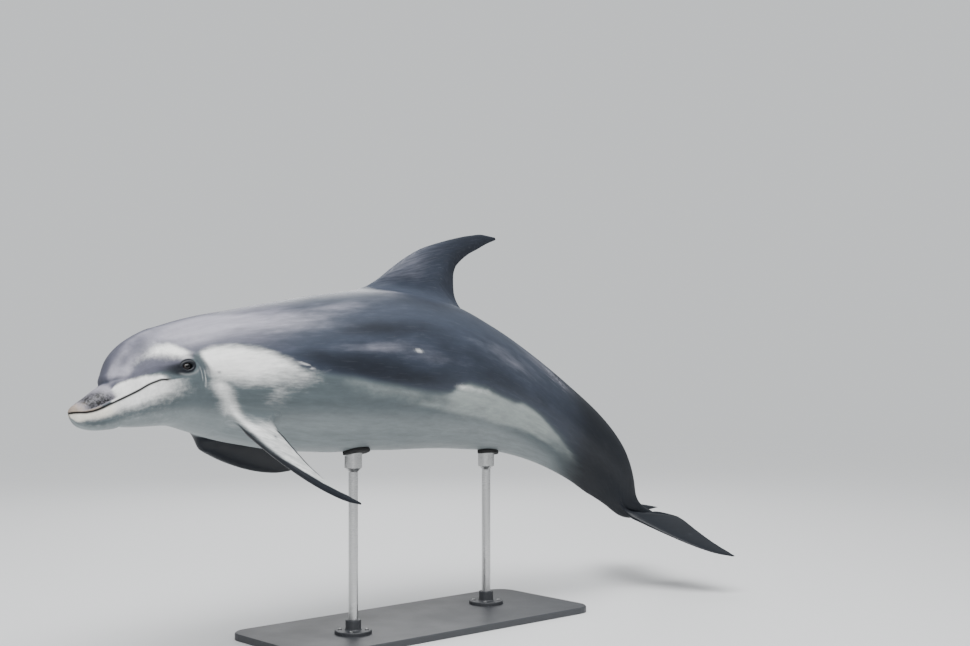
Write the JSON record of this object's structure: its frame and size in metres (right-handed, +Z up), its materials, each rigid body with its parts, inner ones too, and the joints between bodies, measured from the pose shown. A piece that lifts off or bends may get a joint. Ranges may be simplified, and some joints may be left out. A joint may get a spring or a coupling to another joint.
{
  "type": "bottlenose dolphin model",
  "caption": "Life-size still model of a bottlenose dolphin in a banked, arched swimming pose, mouth closed, held up on a flat base by steel rods.",
  "frame": {"origin": "on the underside of the stand's base, straight below the middle of the animal's spine", "axes": "+Z up, the head towards -X, the animal's left side towards -Y"},
  "size_m": [2.4808, 0.7319, 1.2241],
  "materials": {
    "skin": "painted satin skin, dark cape, pale flank and belly",
    "eye": "polished, dark brown",
    "stand_paint": "satin dark grey powder coat",
    "stand_steel": "brushed",
    "stand_rubber": "matt"
  },
  "bodies": {
    "root": {"rostrum_upper": "skin", "melon": "skin", "lower_jaw": "skin", "head": "skin", "neck": "skin", "chest": "skin", "trunk": "skin", "tail_stock_front": "skin", "tail_stock_rear": "skin", "dorsal_fin": "skin", "flipper_left": "skin", "flipper_right": "skin", "fluke_left": "skin", "fluke_right": "skin", "eye_left": "eye", "eye_right": "eye", "stand_base": "stand_paint", "stand_pad_front": "stand_rubber", "stand_rod_front": "stand_steel", "stand_flange_front": "stand_paint", "stand_screw_front_1": "stand_steel", "stand_screw_front_2": "stand_steel", "stand_screw_front_3": "stand_steel", "stand_screw_front_4": "stand_steel", "stand_pad_rear": "stand_rubber", "stand_rod_rear": "stand_steel", "stand_flange_rear": "stand_paint", "stand_screw_rear_1": "stand_steel", "stand_screw_rear_2": "stand_steel", "stand_screw_rear_3": "stand_steel", "stand_screw_rear_4": "stand_steel"}
  },
  "joints": []
}
